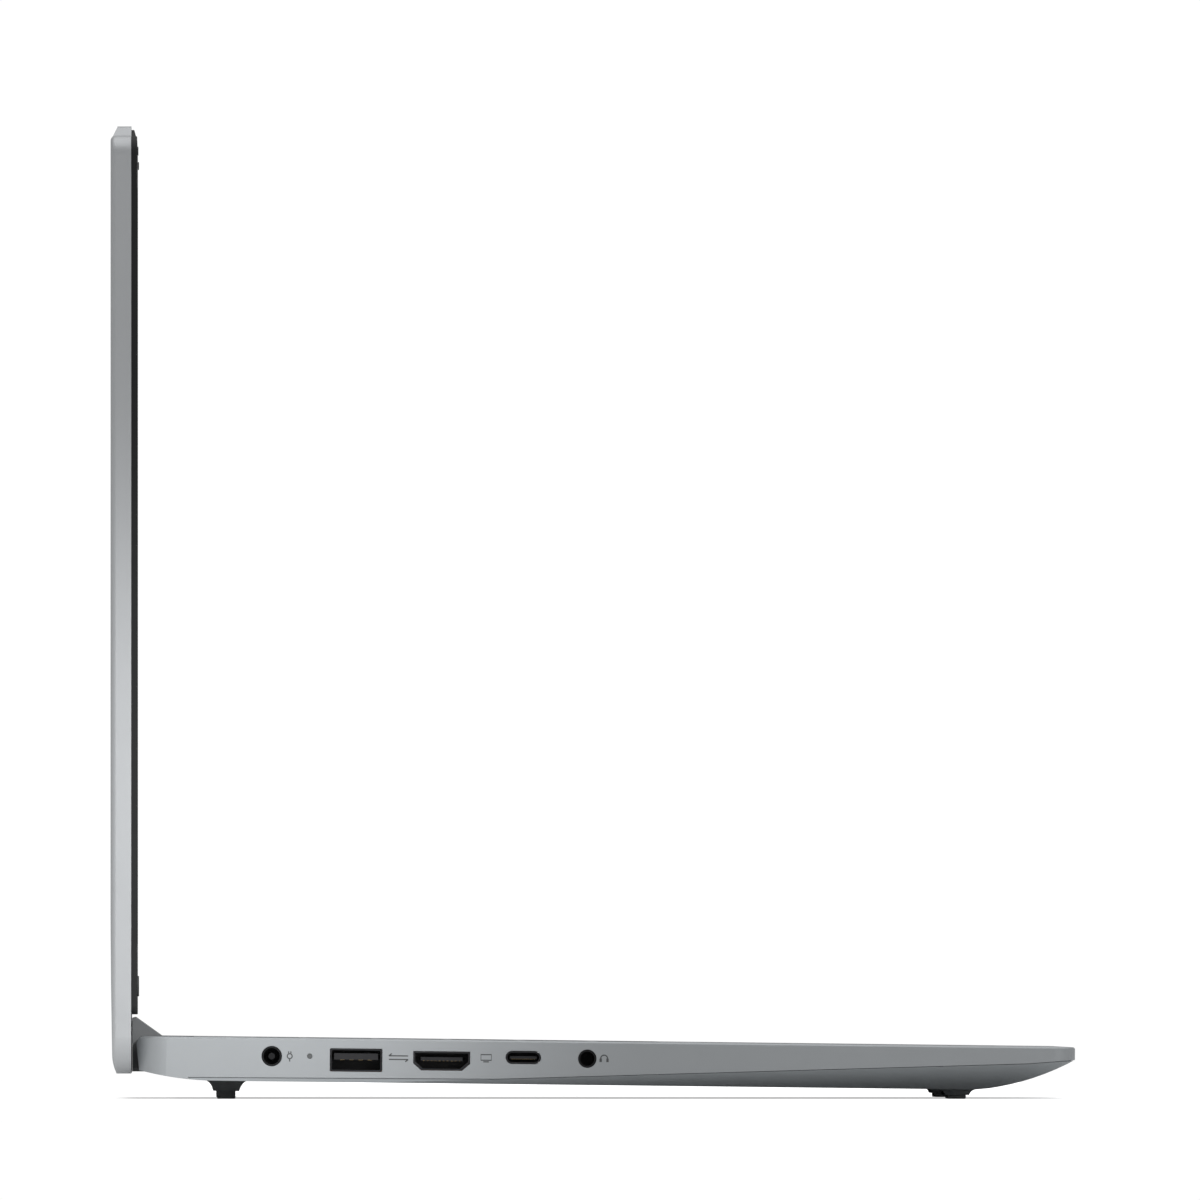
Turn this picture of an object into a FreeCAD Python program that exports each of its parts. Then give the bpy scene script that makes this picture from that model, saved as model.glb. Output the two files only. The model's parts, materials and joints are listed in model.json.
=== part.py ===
import FreeCAD, Part
import Sketcher
import math
import os
import re

# A 15.6 inch laptop computer with its lid open at a right angle.
# Everything is drawn about the hinge line, which runs along X: y is negative towards the
# user, z is up. The base leans down to the front on its feet, the lid stands upright.

V = FreeCAD.Vector
doc = FreeCAD.newDocument("laptop")

DIMS = {
    # overall, in mm from the hinge line
    "half_wide": 179.65,
    "front_y": -229.7,
    "ear_rear": 5.0,
    "deck_z": 4.4,
    "base_low": -6.5,
    "axis_height": 11.25,
    "lean": 0.68,
    # shells
    "wall": 1.4,
    "skin": 1.0,
    "deck_under": 3.0,
    "notch_half": 150.2,
    "notch_front": -4.95,
    # lid
    "lid_top": 229.7,
    "lid_low": -4.9,
    "lid_outer": 11.5,
    "lid_rim": 6.35,
    "lid_skin": 10.3,
    "bezel_face": 4.86,
    "bezel_low": 9.9,
    "hump_rise": 3.9,
    "glass_half": 172.1,
    "glass_low": 27.6,
    "glass_top": 221.2,
    "panel_half": 175.35,
    "panel_low": 17.5,
    "panel_top": 222.7,
    "panel_back": 9.3,
    # hinge
    "cap_half": 149.6,
    "shaft_radius": 2.0,
    "shaft_bore": 1.15,
    "knuckle": 3.0,
    # keyboard
    "key_unit": 17.6,
    "pad_unit": 15.6,
    "row_deep": 18.2,
    "short_row": 13.0,
    "keys_left": -164.7,
    "pad_left": 102.3,
    "keys_rear": -24.0,
    "web": 1.1,
    "key_gap": 0.3,
    "key_top": 4.3,
    "key_under": 2.75,
    # touchpad
    "touch_left": -85.0,
    "touch_right": 25.0,
    "touch_rear": -138.0,
    "touch_front": -212.0,
    # screws
    "shank": 0.8,
    "screw_head": 1.9,
    "boss": 2.6,
    # boards
    "board_low": -0.8,
    "board_top": 0.2,
    "port_inner": -166.2,
    "port_outer": -179.5,
    "fan_x": 92.0,
    "fan_y": -57.0,
    "fan_radius": 25.0,
    # feet
    "rear_foot": -17.6,
    "front_foot": -200.7,
}

sheet = doc.addObject("Spreadsheet::Sheet", "dims")
for row, (name, size) in enumerate(DIMS.items(), 1):
    sheet.set(f"A{row}", name)
    sheet.set(f"B{row}", str(size))
    sheet.setAlias(f"B{row}", name)
doc.recompute()

WORD = re.compile(r"[a-z][a-z_0-9]*")


def linked(expression):
    """The expression with each alias read from the sheet."""
    return WORD.sub(lambda m: "dims." + m.group(0) if m.group(0) in DIMS else m.group(0), expression)


def value(expression):
    return float(sheet.evalExpression(str(expression)))


def bind(thing, prop, expression):
    """Sets a property from the sheet where the expression names a size, else from the number."""
    text = str(expression)
    if linked(text) != text:
        thing.setExpression(prop, linked(text))
    else:
        setattr(thing, prop, value(text))


def move_to(thing, x, y, z, turn=None):
    thing.Placement = FreeCAD.Placement(V(value(x), value(y), value(z)), turn or FreeCAD.Rotation())
    for axis, expression in (("x", x), ("y", y), ("z", z)):
        if linked(str(expression)) != str(expression):
            thing.setExpression("Placement.Base." + axis, linked(str(expression)))


# ---- Part primitives ----

def box(x0, x1, y0, y1, z0, z1):
    made = doc.addObject("Part::Box", "Block")
    bind(made, "Length", f"({x1}) - ({x0})")
    bind(made, "Width", f"({y1}) - ({y0})")
    bind(made, "Height", f"({z1}) - ({z0})")
    move_to(made, x0, y0, z0)
    return made


ALONG = {
    "x": FreeCAD.Rotation(V(0, 1, 0), 90),
    "y": FreeCAD.Rotation(V(1, 0, 0), -90),
    "z": FreeCAD.Rotation(),
}


def rod(along, start, length, radius):
    """A cylinder from a start point along one axis."""
    made = doc.addObject("Part::Cylinder", "Rod")
    bind(made, "Radius", radius)
    bind(made, "Height", length)
    move_to(made, *start, turn=ALONG[along])
    return made


def fuse(parts):
    made = doc.addObject("Part::MultiFuse", "Fusion")
    made.Shapes = parts
    return made


def common(parts):
    made = doc.addObject("Part::MultiCommon", "Common")
    made.Shapes = parts
    return made


def group(parts):
    made = doc.addObject("Part::Compound", "Group")
    made.Links = parts
    return made


def cut(base, tools):
    made = doc.addObject("Part::Cut", "Cut")
    made.Base = base
    made.Tool = tools[0] if len(tools) == 1 else group(tools)
    return made


# ---- PartDesign bodies ----

def rectangle(a0, a1, b0, b1, radius=0):
    """A rectangle outline, with round corners where a radius is given."""
    if not radius:
        return [(a0, b0), (a1, b0), (a1, b1), (a0, b1)]
    inset = radius * (1 - math.sqrt(0.5))
    corners = ((a1, b0, -1, 1), (a1, b1, -1, -1), (a0, b1, 1, -1), (a0, b0, 1, 1))
    outline = []
    for number, (a, b, da, db) in enumerate(corners):
        middle = (f"{a} + {da * inset}", f"{b} + {db * inset}")
        flat_a = (f"{a} + {da * radius}", f"{b}")
        flat_b = (f"{a}", f"{b} + {db * radius}")
        first, last = (flat_a, flat_b) if number % 2 == 0 else (flat_b, flat_a)
        outline += [first, (*middle, *last)]
    return outline


def draw(sketch, outline):
    """Adds a closed outline of lines (a, b) and arcs (through_a, through_b, a, b)."""
    first = sketch.GeometryCount
    points = [V(value(p[-2]), value(p[-1]), 0) for p in outline]
    for number, point in enumerate(outline):
        start, end = points[number - 1], points[number]
        if len(point) == 4:
            through = V(value(point[0]), value(point[1]), 0)
            sketch.addGeometry(Part.Arc(start, through, end), False)
        else:
            sketch.addGeometry(Part.LineSegment(start, end), False)
    ends = []
    for number, start in enumerate(points[-1:] + points[:-1]):
        at_start = (sketch.getPoint(first + number, 1) - start).Length < 1e-6
        ends.append((1, 2) if at_start else (2, 1))
    count = len(outline)
    for number, point in enumerate(outline):
        follow = (number + 1) % count
        joint = ("Coincident", first + number, ends[number][1], first + follow, ends[follow][0])
        sketch.addConstraint(Sketcher.Constraint(*joint))
        for kind, expression in (("DistanceX", point[-2]), ("DistanceY", point[-1])):
            if linked(str(expression)) != str(expression):
                rule = Sketcher.Constraint(kind, -1, 1, first + number, ends[number][1], value(expression))
                index = sketch.addConstraint(rule)
                sketch.setExpression(f"Constraints[{index}]", linked(str(expression)))


def prism(body, plane, outlines, start, end, kind="PartDesign::Pad"):
    """Pads or pockets outlines drawn on one of the body's origin planes, from start to end."""
    sketch = body.newObject("Sketcher::SketchObject", "Sketch")
    origin_plane = next(f for f in body.Origin.OriginFeatures if f.Role == plane + "_Plane")
    sketch.AttachmentSupport = [(origin_plane, "")]
    sketch.MapMode = "FlatFace"
    level = f"-({end})" if plane == "XZ" else str(start)
    sketch.AttachmentOffset = FreeCAD.Placement(V(0, 0, value(level)), FreeCAD.Rotation())
    if linked(level) != level:
        sketch.setExpression("AttachmentOffset.Base.z", linked(level))
    for outline in outlines:
        if outline[0] == "circle":
            centre = V(value(outline[1]), value(outline[2]), 0)
            sketch.addGeometry(Part.Circle(centre, V(0, 0, 1), value(outline[3])), False)
        else:
            draw(sketch, outline)
    feature = body.newObject(kind, "Prism")
    feature.Profile = sketch
    bind(feature, "Length", f"({end}) - ({start})")
    if kind == "PartDesign::Pocket":
        feature.Reversed = True
    return feature


def new_body():
    return doc.addObject("PartDesign::Body", "Body")


def padded(plane, outlines, start, end):
    body = new_body()
    prism(body, plane, outlines, start, end)
    return body


def pocket(body, plane, outlines, start, end):
    prism(body, plane, outlines, start, end, "PartDesign::Pocket")


def round_edges(body, feature_name, radius, chosen):
    """Fillets or chamfers the edges of the body's tip that the test picks."""
    doc.recompute()
    tip = body.Tip
    edges = [f"Edge{n}" for n, edge in enumerate(tip.Shape.Edges, 1) if chosen(edge.BoundBox)]
    feature = body.newObject(feature_name, "Round")
    feature.Base = (tip, edges)
    if feature_name.endswith("Fillet"):
        bind(feature, "Radius", radius)
    else:
        bind(feature, "Size", radius)
    return feature


# ---- the finished pieces ----

lean = value("lean")
sin_lean = math.sin(math.radians(lean))
cos_lean = math.cos(math.radians(lean))
front_reach = -value("front_y") * cos_lean + value("deck_z") * sin_lean
axis_y = (front_reach - value("lid_outer")) / 2
hinge_line = V(0, axis_y, value("axis_height"))
BASE = FreeCAD.Placement(hinge_line, FreeCAD.Rotation(V(1, 0, 0), lean))
LID = FreeCAD.Placement(hinge_line, FreeCAD.Rotation())
PIECES = {}


def piece(label, made, side):
    """Names a finished piece and sets it in its place about the hinge line."""
    if made.TypeId in ("Part::Box", "Part::Cylinder", "Part::Wedge"):
        made = group([made])
    made.Label = label
    made.Placement = side
    PIECES[label] = made
    return made


# ---- base shells ----

def base_blank(inset, lift):
    """The outside of the base, drawn in by the inset and lifted: side profile, plan, side bevels."""
    low = f"base_low + {lift}"
    profile = [
        (f"front_y + {inset}", f"1.2 + {lift}"),
        (f"front_y + {6.5 + inset}", f"{-2.0 + lift}", "-208.2", f"{-6.15 + lift}"),
        ("-204.7", low),
        ("-15.7", low),
        ("-5.7", f"{-5.95 + lift}", "2.55", f"{-4.5 + lift}"),
        (f"ear_rear - {0.7 + inset}", f"{-4.1 + lift}"),
        (f"ear_rear - {inset}", "deck_z - 2.2"),
        (f"ear_rear - {0.6 + inset}", "deck_z - 0.6", f"ear_rear - {2.1 + inset}", "deck_z"),
        (f"front_y + {inset}", "deck_z"),
    ]
    side = padded("YZ", [profile], f"-half_wide + {inset}", f"half_wide - {inset}")
    plan = new_body()
    outline = rectangle(f"-half_wide + {inset}", f"half_wide - {inset}",
                        f"front_y + {inset}", f"ear_rear - {inset}")
    prism(plan, "XY", [outline], "-10", "deck_z")
    round_edges(plan, "PartDesign::Fillet", "5.2",
                lambda b: b.ZLength > 5 and b.YMax < -200)
    round_edges(plan, "PartDesign::Fillet", "7.5",
                lambda b: b.ZLength > 5 and b.YMin > 0 and b.XLength < 1 and b.YLength < 1)
    round_edges(plan, "PartDesign::Chamfer", "0.4",
                lambda b: b.ZMin > value("deck_z") - 0.01)
    blank = common([side, plan])
    return cut(blank, [bevel(1, inset, lift), bevel(-1, inset, lift)])


BEVEL_DROP = 0.041      # how far the lower edge of the side wall falls per mm towards the rear
BEVEL_SLOPE = 0.42      # how far the underside falls per mm in from the side


def bevel(hand, inset, lift):
    """The sloping cut under one side, deeper towards the front."""
    edge = value("deck_z") - 4.2 + BEVEL_DROP * 11.5 + lift
    deep = edge + 14
    edge_x = value("half_wide") - inset
    corners = [(edge_x + 3, edge + 3 * BEVEL_SLOPE), (edge_x + 3, -14), (edge_x - deep / BEVEL_SLOPE, -14)]
    front = value("front_y") - 1
    wire = Part.makePolygon([V(hand * x, front, z) for x, z in corners + corners[:1]])
    face = doc.addObject("Part::Feature", "BevelFace")
    face.Shape = Part.Face(wire)
    made = doc.addObject("Part::Extrusion", "Bevel")
    made.Base = face
    made.DirMode = "Custom"
    made.Dir = V(0, 1, -BEVEL_DROP)
    made.LengthFwd = 240 * math.hypot(1, BEVEL_DROP)
    made.Solid = True
    return made


def under_parting(gap):
    """All that lies below the seam between the top case and the bottom cover."""
    seam = [("front_y - 1", f"{1.2 - gap}"), ("front_y", f"{1.2 - gap}"),
            ("front_y + 11.5", f"{0.2 - gap}"), ("front_y + 145", f"{-5.25 - gap}"),
            (f"{-8 - gap}", f"{-5.7 - gap}"), (f"{-8 - gap}", "-12"), ("front_y - 1", "-12")]
    return padded("YZ", [seam], "-half_wide - 1", "half_wide + 1")


SCREW_PLACES = [(x, y) for y, xs in (
    (-203.0, (-158, 60, 158)),
    (-123.0, (-169.5, 169.5)),
    (-14.5, (-132, -44, 44, 132)),
) for x in xs]

# ports: distance ahead of the hinge line, height, width, height of the opening
PORTS = {
    "usb_a_port_left": (-49.9, -0.95, 13.1, 5.8),
    "video_port": (-71.3, -0.9, 14.2, 4.8),
    "usb_c_port": (-91.7, 0.2, 8.85, 3.3),
}
DC_JACK = (-28.8, -0.2)
STATUS_LED = (-38.3, -0.1)
AUDIO_JACK = (-107.7, 0.1)
USB_RIGHT = (-75.0, -0.95, 13.1, 5.8)
CARD_SLOT = (-105.0, -0.1, 25.0, 2.6)
POWER = (-30.0, -0.1, 10.0, 1.9)


def port_outline(name, y, z, wide, tall, shrink=0.0):
    """The outline of a port's opening in the side wall, drawn in by shrink."""
    half, rise = wide / 2 - shrink, tall / 2 - shrink
    if name == "video_port":
        return [(y - half, z + rise), (y - half, z - rise + 1.75), (y - half + 2, z - rise),
                (y + half - 2, z - rise), (y + half, z - rise + 1.75), (y + half, z + rise)]
    radius = rise - 0.01 if name in ("usb_c_port", "power_button") else 0.3
    return rectangle(y - half, y + half, z - rise, z + rise, radius)


def key_rows():
    """Every key as (group, x0, x1, y0, y1) with its pitch edges, row by row from the rear."""
    rows = {
        "function_keys": [1] * 15,
        "number_keys": [1] * 13 + [2],
        "upper_letter_keys": [1.5] + [1] * 12 + [1.5],
        "home_letter_keys": [1.8] + [1] * 11 + [2.2],
        "lower_letter_keys": [2.3] + [1] * 10 + [2.7],
        "modifier_keys": [1.25, 1, 1, 1.15, 5.2, 1.15, 1.1, 1.05, 1.05, 1.05],
    }
    single = {("home_letter_keys", 12): "enter_key", ("modifier_keys", 4): "space_key",
              ("modifier_keys", 7): "arrow_keys", ("modifier_keys", 9): "arrow_keys"}
    keys = []
    rear = value("keys_rear")
    unit, pad_unit = value("key_unit"), value("pad_unit")
    for number, (name, widths) in enumerate(rows.items()):
        deep = value("short_row") if number == 0 else value("row_deep")
        left = value("keys_left")
        for place, width in enumerate(widths):
            right = left + width * unit
            if (name, place) == ("modifier_keys", 8):
                middle = rear - deep / 2
                keys.append(("arrow_keys", left, right, middle - 0.9, rear))
                keys.append(("arrow_keys", left, right, rear - deep, middle + 0.9))
            else:
                keys.append((single.get((name, place), name), left, right, rear - deep, rear))
            left = right
        left = value("pad_left")
        columns = ((0, 1), (1, 2), (2, 3), (3, 4))
        if number == 5:
            columns = ((0, 2), (2, 3))
        elif number == 3:
            columns = columns[:3]
        for first, last in columns:
            tall = number in (2, 4) and first == 3
            front = rear - deep * (2 if tall else 1)
            keys.append(("keypad_keys", left + first * pad_unit, left + last * pad_unit, front, rear))
        rear -= deep
    return keys


def make_top_case():
    blank = base_blank(0, 0)
    hollow = padded("YZ", [[
        ("front_y + wall", "deck_under"), ("-9.7", "deck_under"), ("-6.3", "-1.7"),
        ("-6.3", "-4.9"), ("-8", "-4.9"), ("-8", "-9"), ("front_y + wall", "-9"),
    ]], "-half_wide + wall", "half_wide - wall")
    inside_plan = rectangle("-half_wide + wall", "half_wide - wall", "front_y + wall", -1, 3.8)
    tools = [under_parting(0), common([hollow, padded("XY", [inside_plan], -10, 4)])]
    ear_room = [(-12, "deck_under"), (3.4, "deck_under"), (3.4, -3.2),
                (-3.5, -3.2), (-7.5, -7.5), (-12, -7.5)]
    tools.append(padded("YZ", [ear_room], "notch_half + wall", "half_wide - 6.1"))
    tools.append(padded("YZ", [ear_room], "-half_wide + 6.1", "-notch_half - wall"))
    notch = [("-9.73", "5"), ("notch_front", "-1.7"), ("notch_front", "-8"), ("8", "-8"), ("8", "5")]
    tools.append(padded("YZ", [notch], "-notch_half", "notch_half"))
    tools.append(rod("x", (-168, 0, 0), 336, "shaft_radius + 0.3"))
    tools.append(box("touch_left - 0.3", "touch_right + 0.3", "touch_front - 0.3", "touch_rear + 0.3",
                     "deck_under - 1", "deck_z + 1"))
    # exhaust slots in the wall under the lid hinge
    for number in range(16):
        x = 62 + number * 4
        tools.append(box(x, x + 2.4, -12, -3, -0.6, 0.9))
    # port openings
    wall_x = ("-half_wide - 1", "-half_wide + wall + 0.5")
    for name, (y, z, wide, tall) in PORTS.items():
        tools.append(padded("YZ", [port_outline(name, y, z, wide, tall)], *wall_x))
    for (y, z), radius in ((DC_JACK, 2.55), (STATUS_LED, 0.65), (AUDIO_JACK, 2.3)):
        tools.append(rod("x", ("-half_wide - 1", y, z), "wall + 1.5", radius))
    for name, port in (("usb_a_port_right", USB_RIGHT), ("card_slot", CARD_SLOT), ("power_button", POWER)):
        tools.append(padded("YZ", [port_outline(name, *port)], "half_wide - wall - 0.5", "half_wide + 1"))
    for _, x0, x1, y0, y1 in key_rows():
        tools.append(box(f"{x0} + web", f"{x1} - web", f"{y0} + web", f"{y1} - web",
                         "deck_under - 1", "deck_z + 1"))
    shell = cut(blank, tools)
    boss_foot, boss_height = "base_low + skin + 0.05", "deck_under + 0.15 - base_low - skin"
    bosses = [rod("z", (x, y, boss_foot), boss_height, "boss")
              for x, y in SCREW_PLACES]
    pilots = [rod("z", (x, y, "base_low"), 5.3, "shank") for x, y in SCREW_PLACES]
    blind = [rod("z", (x, y, 2.8), 1.0, 0.7) for x, y in bracket_screw_places()]
    piece("top_case", cut(fuse([shell] + bosses), pilots + blind), BASE)


def foot_profile(middle, top_half, low_half, drop):
    """A moulded foot with hollow flanks, drawn from inside the skin down."""
    y = middle
    low = value("base_low")
    waist = (top_half + low_half) / 2 - 0.45
    half_drop = drop * 0.55
    return [
        (y - top_half, low + 0.5),
        (y - top_half, low),
        (y - waist, low - half_drop, y - low_half, low - drop),
        (y + low_half, low - drop),
        (y + waist, low - half_drop, y + top_half, low),
        (y + top_half, low + 0.5),
    ]


REAR_DROP, FRONT_DROP = 2.6, 1.4
FRONT_FEET = ((-150, -90), (90, 150))


def make_bottom_cover():
    blank = common([base_blank(0.15, 0), under_parting(0.1)])
    tools = [base_blank(1.4, 1.0)]
    tools.append(box("-notch_half - 20", "notch_half + 20", "-8.1", "10", "-10", "0"))
    # intake slots under the fan, a matching field on the other side, speaker slots at the front
    for column in range(13):
        for x in (66 + column * 4.4, -66 - 2.2 - column * 4.4):
            for y in (-84, -64, -44):
                tools.append(box(x, x + 2.2, y, y + 15, "base_low - 1", "base_low + 3"))
    for hand in (-1, 1):
        for number in range(9):
            x = hand * (136 + number * 2.8) - 0.7
            tools.append(box(x, x + 1.4, -190, -178, "base_low - 1", "base_low + 3"))
    feet = [padded("YZ", [foot_profile(value("rear_foot"), 5.0, 3.25, REAR_DROP)], -140, 140)]
    for x0, x1 in FRONT_FEET:
        feet.append(padded("YZ", [foot_profile(value("front_foot"), 4.5, 3.0, FRONT_DROP)], x0, x1))
    shell = fuse([cut(blank, tools)] + feet)
    holes = []
    for x, y in SCREW_PLACES:
        holes.append(rod("z", (x, y, "base_low - 4"), 4.6, "screw_head + 0.2"))
        holes.append(rod("z", (x, y, "base_low"), 3, "shank + 0.1"))
    piece("bottom_cover", cut(shell, holes), BASE)


def ground(y):
    """Height of the table about the hinge line, in the leaning base's own frame."""
    return (-value("axis_height") - y * sin_lean) / cos_lean


def foot_rubber(middle, half, top, x0, x1):
    front, rear = middle - half, middle + half
    outline = [
        (front, top),
        (front, ground(front) + 0.35),
        (front + 0.1, ground(front) + 0.1, front + 0.35, ground(front + 0.35)),
        (rear - 0.35, ground(rear - 0.35)),
        (rear - 0.1, ground(rear) + 0.1, rear, ground(rear) + 0.35),
        (rear, top),
    ]
    return padded("YZ", [outline], x0, x1)


def make_feet():
    low = value("base_low")
    rear = foot_rubber(value("rear_foot"), 2.32, low - REAR_DROP, -138, 138)
    piece("rear_foot_rubber", rear, BASE)
    front = [foot_rubber(value("front_foot"), 2.2, low - FRONT_DROP, x0 + 1.5, x1 - 1.5)
             for x0, x1 in FRONT_FEET]
    piece("front_feet_rubber", group(front), BASE)


def make_bottom_screws():
    screws = []
    for x, y in SCREW_PLACES:
        head = rod("z", (x, y, "base_low + 0.1"), 0.5, "screw_head")
        socket = rod("z", (x, y, "base_low - 0.1"), 0.5, 0.7)
        shank = rod("z", (x, y, "base_low + 0.6"), 4.3, "shank")
        screws.append(cut(fuse([head, shank]), [socket]))
    piece("bottom_screws", group(screws), BASE)


# ---- keyboard and touchpad ----

def keycap(x0, x1, y0, y1):
    """A low keycap that narrows a little to its top."""
    taper = 0.35
    side = "(web + key_gap)"
    made = doc.addObject("Part::Wedge", "Keycap")
    wide, deep = f"{x1 - x0} - 2 * {side}", f"{y1 - y0} - 2 * {side}"
    sizes = {"Xmin": "0", "Xmax": wide, "X2min": taper, "X2max": f"{wide} - {taper}",
             "Zmin": "0", "Zmax": deep, "Z2min": taper, "Z2max": f"{deep} - {taper}",
             "Ymin": "0", "Ymax": "key_top - key_under"}
    for prop, expression in sizes.items():
        setattr(made, prop, value(expression))
    for prop, expression in sizes.items():
        if linked(str(expression)) != str(expression):
            made.setExpression(prop, linked(str(expression)))
    move_to(made, f"{x0} + {side}", f"{y1} - {side}", "key_under", turn=FreeCAD.Rotation(V(1, 0, 0), 90))
    return made


def make_keyboard():
    groups = {}
    for name, x0, x1, y0, y1 in key_rows():
        groups.setdefault(name, []).append(keycap(x0, x1, y0, y1))
    for name, caps in groups.items():
        piece(name, group(caps), BASE)
    half = 165.2
    plate = padded("XY", [rectangle(-half, half, -129, -22.5, 2)], 0.35, 0.95)
    piece("keyboard_plate", plate, BASE)
    domes = [box(-half + 1, half - 1, -128, -23.5, 0.95, 1.12)]
    for _, x0, x1, y0, y1 in key_rows():
        domes.append(rod("z", ((x0 + x1) / 2, (y0 + y1) / 2, 1.0), 0.34, 2.4))
    piece("dome_sheet", fuse(domes), BASE)


def make_touchpad():
    # the pad tips on its rolled rear edge
    pad = padded("XY", [rectangle("touch_left", "touch_right", "touch_front", "touch_rear - 0.5")],
                 3.3, "deck_z - 0.1")
    round_edges(pad, "PartDesign::Fillet", "1.2",
                lambda b: b.ZLength > 0.9 and b.YMax < value("touch_front") + 0.1)
    rolled = rod("x", ("touch_left", "touch_rear - 0.5", 3.8), "touch_right - touch_left", 0.5)
    piece("touchpad", fuse([pad, rolled]), BASE)
    along = ("touch_front - 2", "touch_rear + 4")
    tray = box("touch_left - 10", "touch_right + 10", *along, 1.4, 2.0)
    window = box("touch_left + 12", "touch_right - 12", "touch_front + 16", "touch_rear - 12", 1, 3)
    rails = [box("touch_left - 10", "touch_left - 3", *along, 2.0, "deck_under"),
             box("touch_right + 3", "touch_right + 10", *along, 2.0, "deck_under")]
    piece("touchpad_tray", fuse([cut(tray, [window])] + rails), BASE)
    middle = (value("touch_left") + value("touch_right")) / 2
    y, z = POWER[:2]
    switches = [box(middle - 4, middle + 4, "touch_front + 5", "touch_front + 11", 2.0, 2.75),
                box(172.5, 176.35, y - 3, y + 3, z - 1.3, z + 1.3)]
    piece("click_switches", group(switches), BASE)


# ---- ports, jacks and switches ----

def port(label, name, y, z, wide, tall, outer, inner, tongue):
    """A sheet-metal port: a shell open to the outside, closed behind, with a contact tongue."""
    x0, x1 = sorted((value(outer), value(inner)))
    shell = padded("YZ", [port_outline(name, y, z, wide, tall, 0.12)], x0, x1)
    inward = 1 if value(outer) < 0 else -1
    mouth = sorted((value(outer) - inward, value(inner) - inward * 1.0))
    room = padded("YZ", [port_outline(name, y, z, wide, tall, 0.45)], *mouth)
    tongue_y, tongue_z, tongue_wide, tongue_tall = tongue
    tongue_x = sorted((value(outer) + inward * 0.9, value(inner) - inward * 0.6))
    leaf = box(*tongue_x, y + tongue_y - tongue_wide / 2, y + tongue_y + tongue_wide / 2,
               z + tongue_z - tongue_tall / 2, z + tongue_z + tongue_tall / 2)
    piece(label, fuse([cut(shell, [room]), leaf]), BASE)


def make_ports():
    outer, inner = "port_outer", "port_inner"
    port("usb_a_port_left", "usb_a_port_left", *PORTS["usb_a_port_left"], outer, inner, (0, 0.9, 11.0, 1.6))
    port("video_port", "video_port", *PORTS["video_port"], outer, inner, (0, 0.5, 10.5, 0.9))
    port("usb_c_port", "usb_c_port", *PORTS["usb_c_port"], outer, inner, (0, 0, 6.7, 0.7))
    outer, inner = "-port_outer", "-port_inner"
    port("usb_a_port_right", "usb_a_port_right", *USB_RIGHT, outer, inner, (0, 0.9, 11.0, 1.6))
    port("card_slot", "card_slot", *CARD_SLOT, outer, inner, (0, -0.75, 22.0, 0.3))
    outer, inner = "port_outer", "port_inner"
    y, z = DC_JACK
    barrel = rod("x", (outer, y, z), 2.5, 2.45)
    housing = box("port_outer + 1.9", inner, y - 4, y + 4, z - 3.2, z + 3.1)
    mouth = rod("x", ("port_outer - 1", y, z), 11.5, 2.05)
    pin = rod("x", ("port_outer + 1.1", y, z), 10.6, 0.825)
    piece("dc_jack", fuse([cut(fuse([barrel, housing]), [mouth]), pin]), BASE)
    y, z = AUDIO_JACK
    barrel = rod("x", (outer, y, z), 2.5, 2.2)
    housing = box("port_outer + 1.9", inner, y - 3.1, y + 3.1, z - 2.5, z + 2.6)
    mouth = rod("x", ("port_outer - 1", y, z), 13.0, 1.8)
    piece("audio_jack", cut(fuse([barrel, housing]), [mouth]), BASE)
    y, z = STATUS_LED
    piece("status_led", rod("x", ("port_outer - 0.05", y, z), 3.6, 0.6), BASE)
    y, z, wide, tall = POWER
    cap = padded("YZ", [port_outline("power_button", y, z, wide, tall, 0.15)], 177.9, "half_wide - 0.05")
    flange = box(177.0, 178.05, y - 6, y + 6, z - 1.6, z + 1.6)
    piece("power_button", fuse([cap, flange]), BASE)


# ---- boards and cooling ----

BOARD_SCREWS = ((-150, -70), (-100, -24), (-90, -94), (-20, -24), (20, -68), (140, -90))


def make_boards():
    fastened = [rod("z", (x, y, "board_low - 1"), 3, "shank") for x, y in BOARD_SCREWS]
    main = padded("XY", [rectangle(-165.8, 50, -100, -18.5)], "board_low", "board_top")
    piece("motherboard", cut(main, [group(fastened[:-1])]), BASE)
    side = padded("XY", [rectangle(128, 165.8, -119, -60)], "board_low", "board_top")
    piece("side_board", cut(side, [fastened[-1]]), BASE)
    flat_cables = [box(44, 134, -98, -92, "board_low - 0.25", "board_low"),
                   box(-104, -88, -105.5, -97, "board_low - 0.9", "board_low")]
    piece("flat_cables", group(flat_cables), BASE)
    screws = []
    for x, y in BOARD_SCREWS:
        head = rod("z", (x, y, "board_low - 0.6"), 0.6, "screw_head")
        shank = rod("z", (x, y, "board_low"), 1.1, "shank")
        screws.append(fuse([head, shank]))
    piece("board_screws", group(screws), BASE)
    chip = fuse([box(-73, -37, -78, -42, "board_low - 0.7", "board_low"),
                 box(-66, -44, -70, -50, "board_low - 1.2", "board_low - 0.7")])
    piece("processor", chip, BASE)
    memory = [box(-160, -92.4, -62, -32, -2.6, -1.6)]
    memory += [box(-157 + n * 16, -145 + n * 16, -58, -44, -3.4, -2.6) for n in range(4)]
    memory.append(box(-158, -94, -32, -28, -3.2, "board_low"))
    piece("memory_module", fuse(memory), BASE)
    drive = [box(-34, 46, -92, -70, -2.4, -1.6), box(-28, -14, -89, -73, -3.2, -2.4),
             box(-8, 8, -89, -73, -3.2, -2.4), box(46, 49, -92, -70, -3.0, "board_low")]
    piece("ssd_module", fuse(drive), BASE)
    radio = [box(4, 34, -60, -38, -2.2, -1.4), box(8, 24, -57, -41, -3.1, -2.2),
             box(0, 4, -60, -38, -2.6, "board_low")]
    piece("wifi_card", fuse(radio), BASE)


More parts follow.
